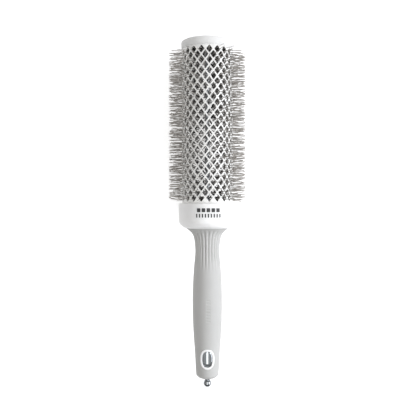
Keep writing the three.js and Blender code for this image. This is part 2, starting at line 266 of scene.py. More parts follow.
def piece(
    part: Part,
    points: np.ndarray,
    faces: Sequence[np.ndarray],
    sharp_degrees: float = 50.0,
    seams: bool = True,
) -> bpy.types.Object:
    """Makes a closed mesh from points and faces, and puts it on its body.

    Points that fall together are merged, which closes seams and poles, and the faces are then
    turned to point outwards. Tubes that are made closed, with their faces outwards, skip that.

    Args:
        part: What it is.
        points: Corner points in millimetres, one in each row.
        faces: Arrays of corner indices, each with one number of corners.
        sharp_degrees: The angle between two faces past which their edge stays sharp.
        seams: Whether there are seams or poles to close.

    Returns:
        The new object.
    """
    mesh = bpy.data.meshes.new(part.name)
    corners = np.concatenate([np.asarray(group, np.int32).ravel() for group in faces])
    sizes = np.concatenate([np.full(len(group), group.shape[1], np.int32) for group in faces])
    starts = np.concatenate([[0], np.cumsum(sizes)[:-1]]).astype(np.int32)
    mesh.vertices.add(len(points))
    mesh.vertices.foreach_set("co", np.ascontiguousarray(points * MM, np.float32).ravel())
    mesh.loops.add(len(corners))
    mesh.loops.foreach_set("vertex_index", corners)
    mesh.polygons.add(len(sizes))
    mesh.polygons.foreach_set("loop_start", starts)
    mesh.update(calc_edges=True)
    if seams:
        built = bmesh.new()
        built.from_mesh(mesh)
        bmesh.ops.remove_doubles(built, verts=built.verts, dist=1e-4 * MM)
        bmesh.ops.dissolve_degenerate(built, edges=built.edges, dist=1e-5 * MM)
        bmesh.ops.recalc_face_normals(built, faces=built.faces)
        built.to_mesh(mesh)
        built.free()
    mesh.polygons.foreach_set("use_smooth", np.ones(len(mesh.polygons), bool))
    mesh.set_sharp_from_angle(angle=math.radians(sharp_degrees))
    mesh.materials.append(part.material)
    obj = bpy.data.objects.new(part.name, mesh)
    bpy.context.scene.collection.objects.link(obj)
    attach(obj, part.body.value)
    if part.nodes:
        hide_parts(*part.nodes)
    log.info("%s: %d faces on %s", obj.name, len(mesh.polygons), part.body.value)
    return obj


def second_finish(
    obj: bpy.types.Object, material: bpy.types.Material, chosen: Callable[[np.ndarray], np.ndarray]
) -> None:
    """Gives some faces of a piece a second finish.

    Args:
        obj: The piece.
        material: The second finish.
        chosen: Tells from the faces' middles in millimetres, one in each row, which take it.
    """
    polygons = obj.data.polygons
    middles = np.zeros(len(polygons) * 3)
    polygons.foreach_get("center", middles)
    obj.data.materials.append(material)
    polygons.foreach_set("material_index", chosen(middles.reshape(-1, 3) / MM).astype(np.int32))


def turned(part: Part, outline: np.ndarray, segments: int) -> bpy.types.Object:
    """A solid of revolution about Y. The outline is closed, and points on the axis become poles.

    Args:
        part: What it is.
        outline: Rows of (radius, y).
        segments: Number of steps round the axis.

    Returns:
        The new object.
    """
    angle = TAU * np.arange(segments)[None, :] / segments
    points = around(outline[:, :1], angle, outline[:, 1:])
    faces = grid_faces(len(outline), segments, wrap_rows=outline[0, 0] > 0)
    return piece(part, points.reshape(-1, 3), [faces], sharp_degrees=40.0)


def tube_faces(tubes: int, stations: int, sides: int) -> list[np.ndarray]:
    """The walls and the flat ends of tubes whose rings of points are stored tube by tube.

    Args:
        tubes: Number of tubes.
        stations: Rings in each.
        sides: Points in a ring.

    Returns:
        The walls' and the ends' corner indices, one face in each row.
    """
    walls = copied(grid_faces(stations, sides), tubes, stations * sides)
    ring = np.arange(sides)
    ends = np.stack([ring[::-1], (stations - 1) * sides + ring])
    return [walls, copied(ends, tubes, stations * sides)]


def swept(
    path: np.ndarray, radius: np.ndarray, sides: int, lift: np.ndarray
) -> tuple[np.ndarray, list[np.ndarray]]:
    """Round tubes carried along many paths at once.

    At each station the tube's ring lies across the path's direction t: its points are
    p + r (cos b n + sin b (t x n)), where n is the lift direction with its share along t removed.

    Args:
        path: Stations as an array of (tubes, stations, 3).
        radius: The tube's radius at each station, as (tubes, stations).
        sides: Number of points in a ring.
        lift: A direction that is never along the path, as something that fits path's shape.

    Returns:
        The points as (tubes * stations * sides, 3), and the faces of walls and ends.
    """
    along = np.gradient(path, axis=1)
    along /= np.linalg.norm(along, axis=-1, keepdims=True)
    across = lift - (lift * along).sum(-1, keepdims=True) * along
    across /= np.linalg.norm(across, axis=-1, keepdims=True)
    third = np.cross(along, across)
    turn = (TAU * np.arange(sides) / sides)[None, None, :, None]
    ring = np.cos(turn) * across[:, :, None] + np.sin(turn) * third[:, :, None]
    points = path[:, :, None] + radius[:, :, None, None] * ring
    return points.reshape(-1, 3), tube_faces(*path.shape[:2], sides)


def span(node: str) -> tuple[np.ndarray, np.ndarray]:
    """The lowest and highest corners of a CAD node at rest, in millimetres."""
    low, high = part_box(node)
    return np.array(low) / MM, np.array(high) / MM


# ---- Finishes ------------------------------------------------------------------------------------


@dataclass(frozen=True)
class Finish:
    """What every finish shares: its name, sRGB colour, roughness and how metallic it is.

    milky is the share of the light that enters and comes out again about MILK_DEPTH away.
    """

    name: str
    colour: str
    roughness: float
    metallic: float = 0.0
    ior: float = 1.5
    coat: float = 0.0
    milky: float = 0.0

    def blank(self) -> tuple[bpy.types.Material, bpy.types.NodeTree, bpy.types.Node]:
        """Makes the material with its plain values.

        Returns:
            The material, its node tree and its shader.
        """
        material = bpy.data.materials.new(self.name)
        material.use_nodes = True
        tree = material.node_tree
        tree.nodes.clear()
        shader = add_node(
            tree,
            "ShaderNodeBsdfPrincipled",
            Base_Color=linear(self.colour),
            Roughness=self.roughness,
            Metallic=self.metallic,
            IOR=self.ior,
            Coat_Weight=self.coat,
            Coat_Roughness=COAT_ROUGHNESS,
            Subsurface_Weight=self.milky,
            Subsurface_Radius=(1.0, 1.0, 1.0),
            Subsurface_Scale=MILK_DEPTH * MM,
        )
        add_node(tree, "ShaderNodeOutputMaterial", {"Surface": shader.outputs["BSDF"]})
        return material, tree, shader

    def marked(
        self, shader: bpy.types.Node, marks: bpy.types.NodeSocket, shine: float, relief: float
    ) -> None:
        """Lets a texture change the roughness and raise the surface.

        Args:
            shader: The material's shader.
            marks: The texture's output.
            shine: How far the roughness goes up and down.
            relief: The height of the marks in millimetres.
        """
        tree = shader.id_data
        low, high = max(SMOOTHEST, self.roughness - shine), self.roughness + shine
        tree.links.new(remapped(tree, marks, low, high), shader.inputs["Roughness"])
        bump = add_node(tree, "ShaderNodeBump", {"Height": marks}, Distance=relief * MM)
        tree.links.new(bump.outputs["Normal"], shader.inputs["Normal"])


@dataclass(frozen=True)
class Moulding(Finish):
    """A moulded or coated skin: fine grain from the mould or the spray, and slow drifts of tone.

    grain is the spacing of the fine texture and relief its height, both in millimetres; mottle is
    the share by which the tone drifts over drift millimetres, and shine the change in roughness.
    """

    grain: float = 0.3
    relief: float = 0.004
    mottle: float = 0.02
    drift: float = 14.0
    shine: float = 0.04

    def material(self) -> bpy.types.Material:
        """Builds the finish.

        Returns:
            The material.
        """
        material, tree, shader = self.blank()
        place = add_node(tree, "ShaderNodeTexCoord").outputs["Object"]
        tone = remapped(tree, noise(tree, place, self.drift, 3.0), 1.0 - self.mottle, 1.0)
        parts = {0: 1.0, 6: linear(self.colour), 7: tone}
        colour = add_node(tree, "ShaderNodeMix", parts, data_type="RGBA", blend_type="MULTIPLY")
        tree.links.new(colour.outputs[2], shader.inputs["Base Color"])
        self.marked(shader, noise(tree, place, self.grain, 2.0), self.shine, self.relief)
        return material


@dataclass(frozen=True)
class Metal(Finish):
    """A metal drawn, turned or plated: fine streaks that run round or along the brush.

    streak is the spacing of the marks in millimetres, stretch how many times longer than wide they
    are along Y, relief their height in millimetres, and scatter the change in roughness.
    """

    metallic: float = 1.0
    streak: float = 0.2
    stretch: float = 12.0
    relief: float = 0.002
    scatter: float = 0.05

    def material(self) -> bpy.types.Material:
        """Builds the finish.

        Returns:
            The material.
        """
        material, tree, shader = self.blank()
        place = add_node(tree, "ShaderNodeTexCoord").outputs["Object"]
        drawn = add_node(tree, "ShaderNodeMapping", {"Vector": place}, Scale=(1.0, 1.0 / self.stretch, 1.0))
        marks = noise(tree, drawn.outputs["Vector"], self.streak, 3.0)
        self.marked(shader, marks, self.scatter, self.relief)
        return material


@dataclass(frozen=True)
class CrimpedNylon(Finish):
    """Extruded nylon filament: each one has its own tone, between the dark and the light colour.

    The piece's "tone" attribute, from 0 to 1, says which, and runs along the filament: it is
    darkened near the stem as painted shade, and is paler at the tips. cloud is the size in
    millimetres of the slow streaks along it, and streaks the share by which they lighten it.
    """

    light: str = "ffffff"
    cloud: float = 1.2
    streaks: float = 0.3

    def material(self) -> bpy.types.Material:
        """Builds the finish.

        Returns:
            The material.
        """
        material, tree, shader = self.blank()
        place = add_node(tree, "ShaderNodeTexCoord").outputs["Object"]
        tone = add_node(tree, "ShaderNodeAttribute", attribute_name="tone", attribute_type="GEOMETRY")
        parts = {0: noise(tree, place, self.cloud, 2.0), 1: self.streaks, 2: tone.outputs["Fac"]}
        mixed = add_node(tree, "ShaderNodeMath", parts, operation="MULTIPLY_ADD", use_clamp=True)
        parts = {0: mixed.outputs["Value"], 6: linear(self.colour), 7: linear(self.light)}
        colour = add_node(tree, "ShaderNodeMix", parts, data_type="RGBA")
        tree.links.new(colour.outputs[2], shader.inputs["Base Color"])
        return material


# Electrostatic ceramic coat on aluminium: a hard white glaze with a faint orange peel.
CERAMIC = Moulding(
    "ceramic_coat_sprayed_white", "f6f6f4", 0.3, coat=0.2, grain=0.7, relief=0.006, mottle=0.015
)
# Rolled aluminium inside the sleeve, which has no coat: dull, and its dark colour is painted shade of the
# wall.
ALUMINIUM_PAINTED_SHADE = Metal(
    "aluminium_rolled_painted_shade", "3f3e3d", 0.55, streak=0.4, stretch=1.0, relief=0.01, scatter=0.08
)
# ABS from a polished mould: bright white with a satin shine.
WHITE_ABS = Moulding(
    "abs_moulded_white_satin", "f9f9f8", 0.38, milky=0.5, grain=0.35, relief=0.003, mottle=0.012
)
# ABS of the cap: the collar's white drawn a shade greyer, which is painted shade, and duller.
CAP_ABS_PAINTED_SHADE = Moulding(
    "abs_moulded_white_painted_shade", "e4e4e3", 0.6, ior=1.38, milky=0.5, grain=0.35, relief=0.003, mottle=0.012
)
# Painted shade for the cap's inside, drawn as dark ABS: its plug ring, its boss and the ceiling between them.
PLUG_PAINTED_SHADE = Moulding("abs_painted_shade_charcoal", "39393a", 0.55, grain=0.3, relief=0.004, mottle=0.08)
# ABS from a mirror mould: the same white, glossier, for the small bezel.
BEZEL_ABS = Moulding(
    "abs_moulded_white_gloss", "ffffff", 0.18, coat=0.3, grain=0.6, relief=0.002, mottle=0.01
)
# Soft-touch thermoplastic rubber over the handle: matt warm grey, with an eroded grain. The real
# grain is about 0.05 mm and is drawn at 0.3 mm so that it shows.
SOFT_GRIP = Moulding("tpe_soft_touch_grey", "bfbfbd", 0.66, grain=0.3, relief=0.012, mottle=0.03, drift=9.0)
# Glass-filled nylon of the hidden core: plain, dull and off white.
CORE_NYLON = Moulding("nylon_glass_filled_moulded", "d2cfc8", 0.5, grain=0.25, relief=0.01, mottle=0.06)
# Nitrile rubber of the friction ring: black, dull, a little dusty.
NITRILE = Moulding(
    "nitrile_rubber_moulded_black", "232323", 0.75, grain=0.2, relief=0.01, mottle=0.25, drift=2.0
)
# Pad-printed ink: charcoal, flatter than the plastic under it.
INK = Moulding("ink_pad_printed_charcoal", "3a3a3b", 0.5, grain=0.25, relief=0.002, mottle=0.12, drift=1.5)
# Nylon filament, crimped by heat: warm grey-brown with a dull sheen.
NYLON = CrimpedNylon("nylon_filament_crimped", "3b3836", 0.42, light="c6c1bb", ior=1.53)
# Chrome plate, a little dark in tint: a mirror with a faint ripple from the polishing wheel.
CHROME = Metal("chrome_plate_polished", "a6aaad", 0.05, streak=1.6, stretch=2.0, relief=0.0006, scatter=0.015)
# Drawn steel wire of the twisted stem: fine dies leave lines along it.
DRAWN_STEEL = Metal("steel_wire_drawn_bright", "b8babd", 0.28, streak=0.12, stretch=16.0, relief=0.004)
# Turned or pressed steel with a thin zinc plate.
ZINC_STEEL = Metal("steel_zinc_plated", "b4b7ba", 0.34, streak=0.25, stretch=0.3, relief=0.004, scatter=0.07)
# Oil-tempered spring wire: darker, with a blue cast.
SPRING_STEEL = Metal("spring_steel_oil_tempered", "7f848a", 0.36, streak=0.1, stretch=1.0, relief=0.002)
# White paper of the studio's sweep.
PAPER = Finish("paper_sweep_white", "e6e6e6", 0.9)


# ---- Barrel, cap and bristles --------------------------------------------------------------------


@dataclass
class Sleeve:
    """The perforated thermal sleeve: a thin tube with staggered rows of rounded diamond holes.

    Row j has a hole every 18 degrees from first_angle, and odd rows are half a step round. The
    cells of neighbouring rows are diamonds that tile the tube, so each cell is made alone and its
    edge points fall on its neighbours'. ring_shares and ring_depths say how a cell is carried from
    its edge to its hole, and through the wall.
    """

    rows: int = 29
    per_row: int = 20
    pitch: float = 3.615
    first_row: float = 11.92
    first_angle: float = 4.5
    wall: float = 0.7
    hole: float = 0.785
    corner: float = 0.06
    corner_reach: float = 0.22
    lip: float = 0.06
    edge_steps: int = 4
    ring_shares: tuple[float, ...] = (0.0, 0.5, 0.86, 0.97, 1.0, 1.0, 0.9, 0.0)
    ring_depths: tuple[float, ...] = (0.0, 0.0, 0.03, 0.12, 0.28, 0.9, 1.0, 1.0)

    def __post_init__(self) -> None:
        """Takes the tube's ends and radius from the frame."""
        low, high = span("barrel")
        self.low, self.high, self.radius = low[1], high[1], high[2]

    def centres(self) -> tuple[np.ndarray, np.ndarray]:
        """The angle and height of every hole.

        Returns:
            Angles in radians and heights in millimetres, both (rows, per_row).
        """
        row, column = np.meshgrid(np.arange(self.rows), np.arange(self.per_row), indexing="ij")
        step = TAU / self.per_row
        angle = math.radians(self.first_angle) + step * (column + 0.5 * (row % 2))
        return angle, self.first_row + self.pitch * row

    def rings(self) -> tuple[np.ndarray, np.ndarray]:
        """The rings of one cell, from its outer edge over the hole's lip to its inner edge.

        With n steps to an edge of the cell's diamond, the point k steps along it is (1 - k/n) of
        one corner plus k/n of the next. The hole's contour is the diamond shrunk to hole, with
        each corner drawn in by a further share, which rounds it. A ring lies a share of the way
        from the cell's edge to that contour, at a depth below the outside.

        Returns:
            The rings as (rings, points, 2), in halves of a cell, and each ring's radius.
        """
        corners = np.array([(1, 0), (0, 1), (-1, 0), (0, -1)], float)
        ahead = np.roll(corners, -1, axis=0)
        along = (np.arange(self.edge_steps) / self.edge_steps)[None, :, None]
        cell = ((1 - along) * corners[:, None] + along * ahead[:, None]).reshape(-1, 2)
        step = np.arange(len(cell)) % self.edge_steps
        near = np.minimum(step, self.edge_steps - step) / self.edge_steps
        rounded = 1 - self.corner * np.exp(-((near / self.corner_reach) ** 2))
        contour = cell * (self.hole * rounded)[:, None]
        share = np.array(self.ring_shares)[:, None, None]
        return (1 - share) * cell + share * contour, self.radius - np.array(self.ring_depths) * self.wall

    def kept(self, y: np.ndarray) -> np.ndarray:
        """Heights held between the rounded rims, where the last cells' points would pass them."""
        return np.clip(y, self.low + self.lip, self.high - self.lip)

    def band(self, top: bool) -> tuple[np.ndarray, np.ndarray]:
        """The plain band between the last row's zigzag edge and a rim, with its inside.

        Its rows run from the zigzag down the outside, over the rounded rim and up the inside, and
        its columns are the zigzag's points: y = last row -+ pitch (1 - |share of half a cell|).

        Args:
            top: Whether it is the band at the high end.

        Returns:
            Points and faces.
        """
        sign = 1.0 if top else -1.0
        rim = self.high if top else self.low
        last = self.first_row + (self.pitch * (self.rows - 1) if top else 0.0)
        shift = 0.5 * ((self.rows - 1) % 2) if top else 0.0
        columns = np.arange(2 * self.edge_steps * self.per_row)
        share = columns / (2 * self.edge_steps) - 0.5
        angle = math.radians(self.first_angle) + TAU / self.per_row * (share + shift)
        off = np.abs((columns % (2 * self.edge_steps)) / self.edge_steps - 1.0)
        zigzag = self.kept(last + sign * self.pitch * (1 - off))
        lip, inside = self.lip, self.radius - self.wall
        rim, plain = 0 * zigzag + rim, 0 * zigzag + rim - sign * lip
        levels = np.array([zigzag, plain, rim, rim, plain, zigzag])
        radii = np.array([self.radius, self.radius, self.radius - lip, inside + lip, inside, inside])
        points = around(radii[:, None], angle[None], levels).reshape(-1, 3)
        return points, grid_faces(len(levels), len(columns))

    def build(self) -> None:
        """Builds the sleeve, white outside, and bare inside in painted shade."""
        rings, radii = self.rings()
        angle, y = self.centres()
        half = TAU / self.per_row / 2
        across = angle.reshape(-1, 1, 1) + half * rings[None, :, :, 0]
        along = self.kept(y.reshape(-1, 1, 1) + self.pitch * rings[None, :, :, 1])
        cells = around(radii[None, :, None], across, along).reshape(-1, 3)
        faces = copied(grid_faces(*rings.shape[:2]), self.rows * self.per_row, rings[..., 0].size)
        low, low_faces = self.band(top=False)
        high, high_faces = self.band(top=True)
        points = np.concatenate([cells, low, high])
        joined = [faces, low_faces + len(cells), high_faces + len(cells) + len(low)]
        sleeve = piece(Part("barrel_sleeve", CERAMIC.material(), Body.BRUSH, ("barrel",)), points, joined)

        def bare(middles: np.ndarray) -> np.ndarray:
            """Which faces are on the inside."""
            return np.hypot(middles[:, 0], middles[:, 2]) < self.radius - 0.8 * self.wall

        # The inside takes the dark aluminium, whose colour is painted shade of the wall.
        second_finish(sleeve, ALUMINIUM_PAINTED_SHADE.material(), bare)


@dataclass
class EndCap:
    """The white cap: a flat crown with a rounded edge and a skirt that tapers to the sleeve.

    Inside it, which is drawn dark as painted shade, a plug ring fits the sleeve and a boss takes the end of
    the stem.
    """

    flat: float = 6.0
    flare: float = 2.6
    edge: float = 0.8
    bore: float = 2.7
    bore_depth: float = 3.2
    boss: float = 4.4
    plug: float = 16.7
    plug_wall: float = 2.0
    ceiling_depth: float = 2.2
    segments: int = 160

    def build(self) -> None:
        """Builds the cap from an outline with rounded corners, and darkens its inside with painted shade."""
        low, high = span("end_cap")
        rim, top, foot = high[2], high[1], low[1]
        sleeve = span("barrel")[1]
        skirt, skirt_rim = sleeve[1] + 0.01, sleeve[2] + 0.02
        bore_top, ceiling = top - self.bore_depth, top - self.ceiling_depth
        hollow = self.plug - self.plug_wall
        outline = filleted([
            (0, bore_top, 0), (self.bore, bore_top, 0.3), (self.bore, foot, 0.3), (self.boss, foot, 0.3),
            (self.boss, ceiling, 0.5), (hollow, ceiling, 0.5), (hollow, foot, 0.3), (self.plug, foot, 0.4),
            (self.plug, skirt, 0.2), (skirt_rim, skirt, 0.03), (rim, skirt + self.flare, 1.2),
            (rim, top, self.edge), (self.flat, top, 4.0), (0, top, 0),
        ], steps=6)

        def inside(middles: np.ndarray) -> np.ndarray:
            """Which faces lie within the plug and below the crown."""
            return (np.hypot(middles[:, 0], middles[:, 2]) < self.plug + 0.1) & (middles[:, 1] < top - 1)

        # The cap's white is drawn a shade greyer than the collar's: painted shade.
        cap = turned(Part("crown_cap", CAP_ABS_PAINTED_SHADE.material(), Body.BRUSH, ("end_cap",)), outline, self.segments)
        # The cap's inside is drawn dark: painted shade in its hollow.
        second_finish(cap, PLUG_PAINTED_SHADE.material(), inside)


@dataclass
class Bristles:
    """Tufts of crimped nylon: one row of them for each row of holes.

    A filament leaves the stem, passes through its hole and stands out past it. Its centre line is
    radius r times the hole's direction, plus an offset that grows from the stem to the hole and
    then follows its lean, plus a crimp across it of amplitude times sin(2 pi r / period + phase).

    A hole's filaments stand in clumps, which lie apart times half a hole from each other, give or
    take scatter. Past the sleeve the rows lean along Y by gather times a wave that repeats every
    gather_every, which draws neighbouring rows into bundles, and the last rows lean away from the
    cap by tuck. Only the share front is kept on the button's side, which leaves the sleeve's
    struts clear there. The tone is the first of tones plus up to the second; towards the stem it
    falls to the dark colour over shadow_reach, as painted shade, and it is paler by tip_tone at the
    tips.
    """

    sleeve: Sleeve
    per_hole: int = 8
    clumps: int = 2
    apart: float = 0.66
    scatter: float = 0.35
    own: float = 0.08
    clump_lean: tuple[float, float] = (0.03, 0.022)
    own_lean: float = 0.012
    strays: float = 0.03
    stray_lean: float = 0.16
    thickness: float = 0.4
    root: float = 4.6
    clear: float = 16.0
    crimp: float = 0.075
    period: float = 5.2
    gather: float = 0.1
    gather_every: float = 8.4
    tuck: float = 0.12
    front: float = 0.45
    front_reach: tuple[float, float] = (0.5, 0.9)
    trim: float = 1.1
    tones: tuple[float, float] = (0.36, 0.46)
    tip_tone: float = 0.12
    shadow_reach: tuple[float, float] = (12.0, 19.0)
    stations: int = 15
    sides: int = 3
    seed: int = 390

    def __post_init__(self) -> None:
        """Takes the tips' radius from the frame."""
        self.reach = span("bristle_row_01")[1][0]

    def clumped(self, rng: np.random.Generator) -> tuple[np.ndarray, np.ndarray, np.ndarray]:
        """Where a row's filaments pass through their holes, how they lean and how they crimp.

        Args:
            rng: The row's source of chance.

        Returns:
            Offsets at the hole in millimetres and leans, both as (filaments, 2) of across and
            along, and the phase of each filament's crimp.
        """
        holes = self.sleeve.per_row
        shape, each = (holes, self.clumps), (holes, self.per_hole)
        count = holes * self.per_hole
        half_wide = self.sleeve.radius * TAU / holes / 2 * self.sleeve.hole
        half_high = self.sleeve.pitch * self.sleeve.hole
        clump_at = rng.uniform(-0.5, 0.5, (*shape, 2)) * (half_wide, self.scatter * half_high)
        clump_at[..., 1] += half_high * self.apart * (np.arange(self.clumps) - (self.clumps - 1) / 2)
        clump_lean = rng.normal(0.0, 1.0, (*shape, 2)) * self.clump_lean
        clump_phase = rng.uniform(0, TAU, shape)
        member = np.arange(self.per_hole) % self.clumps
        at_hole = clump_at[:, member] + rng.normal(0.0, self.own, (*each, 2))
        stray = rng.uniform(size=count) < self.strays
        lean = (clump_lean[:, member] + rng.normal(0, self.own_lean, (*each, 2))).reshape(count, 2)
        lean += stray[:, None] * rng.normal(0, self.stray_lean, (count, 2))
        phase = clump_phase[:, member] + rng.normal(0, 0.2, each)
        return at_hole.reshape(count, 2), lean, phase.reshape(count)

    def row(self, index: int, material: bpy.types.Material) -> None:
        """Builds one row of tufts.

        Args:
            index: The row, from 0 at the collar.
            material: The filament's finish.
        """
        rng = np.random.default_rng(self.seed + index)
        angles, heights = self.sleeve.centres()
        y = heights[index, 0]
        hole_angle = np.repeat(angles[index], self.per_hole)
        count = len(hole_angle)
        at_hole, lean, phase = self.clumped(rng)
        bundle = TAU * y / self.gather_every + 2.0 * np.sin(3.0 * hole_angle)
        lean[:, 1] -= self.gather * np.sin(bundle)
        lean[:, 1] -= self.tuck * max(0.0, 1.0 - 0.5 * (self.sleeve.rows - 1 - index))
        turn = rng.normal(0.25 * TAU, 0.12 * TAU, count)
        end = self.reach - self.trim * rng.beta(1.1, 2.2, count)
        thick = 0.5 * self.thickness * rng.uniform(0.85, 1.1, count)

        inner, outer = np.array([0.0, 0.5]), np.linspace(0.0, 1.0, self.stations)
        radius = np.concatenate([
            self.root + inner[None] * (self.clear - self.root) + np.zeros((count, 1)),
            self.clear + outer[None] * (end[:, None] - self.clear),
        ], axis=1)
        growth = np.minimum((radius - self.root) / (self.sleeve.radius - self.root), 1.0)
        beyond = np.maximum(radius - self.sleeve.radius, 0.0)
        wave = self.crimp * smooth(radius, self.clear - 2, self.clear + 3)
        wave = wave * np.sin(TAU * radius / self.period + phase[:, None])
        across = at_hole[:, 0, None] * growth + lean[:, 0, None] * beyond + wave * np.cos(turn)[:, None]
        along = at_hole[:, 1, None] * growth + lean[:, 1, None] * beyond + wave * np.sin(turn)[:, None]

        angle = hole_angle[:, None]
        share = 1 - (1 - self.front) * smooth(np.cos(hole_angle), *self.front_reach)
        kept = rng.uniform(size=count) < share
        path = np.stack([
            radius * np.sin(angle) + across * np.cos(angle),
            y + along,
            radius * np.cos(angle) - across * np.sin(angle),
        ], axis=-1)[kept]
        thick = np.repeat(thick[kept, None], radius.shape[1], 1)
        points, faces = swept(path, thick, self.sides, np.array([0, 1.0, 0]))
        number = f"{index + 1:02d}"
        part = Part(f"bristles_{number}", material, Body.BRUSH, (f"bristle_row_{number}",))
        row = piece(part, points, faces, sharp_degrees=180.0, seams=False)
        tone = self.tones[0] + self.tones[1] * rng.beta(2.0, 2.2, count)[:, None]
        # Painted shade: the tone falls to the dark colour towards the stem.
        tone = tone * smooth(radius, *self.shadow_reach)
        tone = (tone + self.tip_tone * smooth(radius, self.reach - 3, self.reach))[kept]
        shades = row.data.attributes.new("tone", "FLOAT", "POINT")
        shades.data.foreach_set("value", np.repeat(tone, self.sides, axis=1).astype(np.float32).ravel())

    def build(self) -> None:
        """Builds every row, from the collar to the cap."""
        material = NYLON.material()
        for index in range(self.sleeve.rows):
            self.row(index, material)


@dataclass
class Stem:
    """Two steel wires twisted together down the middle of the barrel, as on a twisted-in brush."""

    wire: float = 0.95
    twist: float = 1.15
    turn: float = 11.5
    clearance: float = 0.3
    stations: int = 260
    sides: int = 12

    def build(self) -> None:
        """Builds both wires: each centre line is (R sin a, y, R cos a) with a = 2 pi y / turn."""
        material = DRAWN_STEEL.material()
        for share, node in ((0.0, "stem_wire_a"), (0.5, "stem_wire_b")):
            low, high = span(node)
            y = np.linspace(low[1] + self.clearance, high[1] - self.clearance, self.stations)
            angle = TAU * (share + (y - low[1]) / self.turn)
            path, away = around(self.twist, angle, y)[None], around(1.0, angle, 0 * y)[None]
            points, faces = swept(path, np.full((1, self.stations), self.wire), self.sides, away)
            piece(Part(f"{node}_drawn", material, Body.BRUSH, (node,)), points, faces)


# ---- Collar and handle ---------------------------------------------------------------------------


@dataclass
class Collar:
    """The white collar that carries the barrel, with its printed marks.

    The marks are two lines of plain blocks, which stand in for a maker's print.
    """

    segments: int = 192
    socket: float = 18.1
    seat: float = 4.0
    shelf: float = -6.9
    bore: float = 10.9
    cavity: float = 15.2
    mark_middle: float = 0.75
    mark_stations: int = 8
    ink: float = 0.03

    def __post_init__(self) -> None:
        """Takes the collar's ends and radius from the frame."""
        low, high = span("collar")
        self.low, self.high, self.radius = low[1], high[1], high[2]

    def build(self) -> None:
        """Builds the collar and its print."""
        low, high = self.low, self.high
        outline = filleted([
            (self.bore, low, 0.2), (14.8, low, 0.12), (17.8, low + 1.35, 1.6), (19.65, low + 3.3, 1.5),
            (self.radius, low + 6.2, 2.4), (self.radius, high, 0.5), (self.socket, high, 0.25),
            (self.socket, self.seat, 0.2), (self.cavity, self.seat, 0.2), (self.cavity, self.shelf, 0.3),
            (self.bore, self.shelf, 0.2), (self.bore, low, 0.0),
        ], steps=6)
        turned(Part("collar_cup", WHITE_ABS.material(), Body.BRUSH, ("collar",)), outline, self.segments)
        upper, upper_faces = self.blocks(count=5, length=15.8, low=2.15, high=4.75, gap=0.9)
        lower, lower_faces = self.blocks(count=9, length=17.0, low=-1.5, high=1.0, gap=1.1)
        faces = [*upper_faces, *(group + len(upper) for group in lower_faces)]
        ink = Part("collar_print", INK.material(), Body.BRUSH, slot="black_rubber")
        piece(ink, np.concatenate([upper, lower]), faces, sharp_degrees=0.0)

    def blocks(
        self, count: int, length: float, low: float, high: float, gap: float
    ) -> tuple[np.ndarray, list[np.ndarray]]:
        """One printed line: equal blocks side by side that follow the collar's wall.

        A block is a slab whose section is a rectangle in (radius, y), turned through its width.

        Args:
            count: Number of blocks.
            length: The line's whole length.
            low: Height of the line's lower edge.
            high: Height of its upper edge.
            gap: Space between blocks.

        Returns:
            Points and faces.
        """
        width = (length + gap) / count - gap
        start = self.mark_middle - length / 2 + (width + gap) * np.arange(count)[:, None]
        angle = (start + width * np.linspace(0, 1, self.mark_stations)) / self.radius
        inside, outside = self.radius - self.ink, self.radius + self.ink
        section = np.array([(inside, low), (outside, low), (outside, high), (inside, high)])
        points = around(section[:, 0], angle[..., None], section[:, 1])
        return points.reshape(-1, 3), tube_faces(count, self.mark_stations, len(section))


def bridged(loops: np.ndarray) -> np.ndarray:
    """The faces between closed loops of points, whose indices are the rows of loops."""
    ahead = np.roll(loops, -1, axis=1)
    return np.stack([loops[:-1], ahead[:-1], ahead[1:], loops[1:]], axis=-1).reshape(-1, 4)


def oval(half: np.ndarray, turn: np.ndarray) -> tuple[np.ndarray, np.ndarray]:
    """A squarish oval: (|x| / half_x)^n + (|y| / half_y)^n = 1 with n = OVAL_POWER.

    Args:
        half: Its half sizes along X and Y.
        turn: The parameter t; x goes with |cos t|^(2/n) and y with |sin t|^(2/n).

    Returns:
        x and y.
    """
    cos, sin = np.cos(turn), np.sin(turn)
    power = 2 / OVAL_POWER
    return half[0] * np.sign(cos) * np.abs(cos) ** power, half[1] * np.sign(sin) * np.abs(sin) ** power


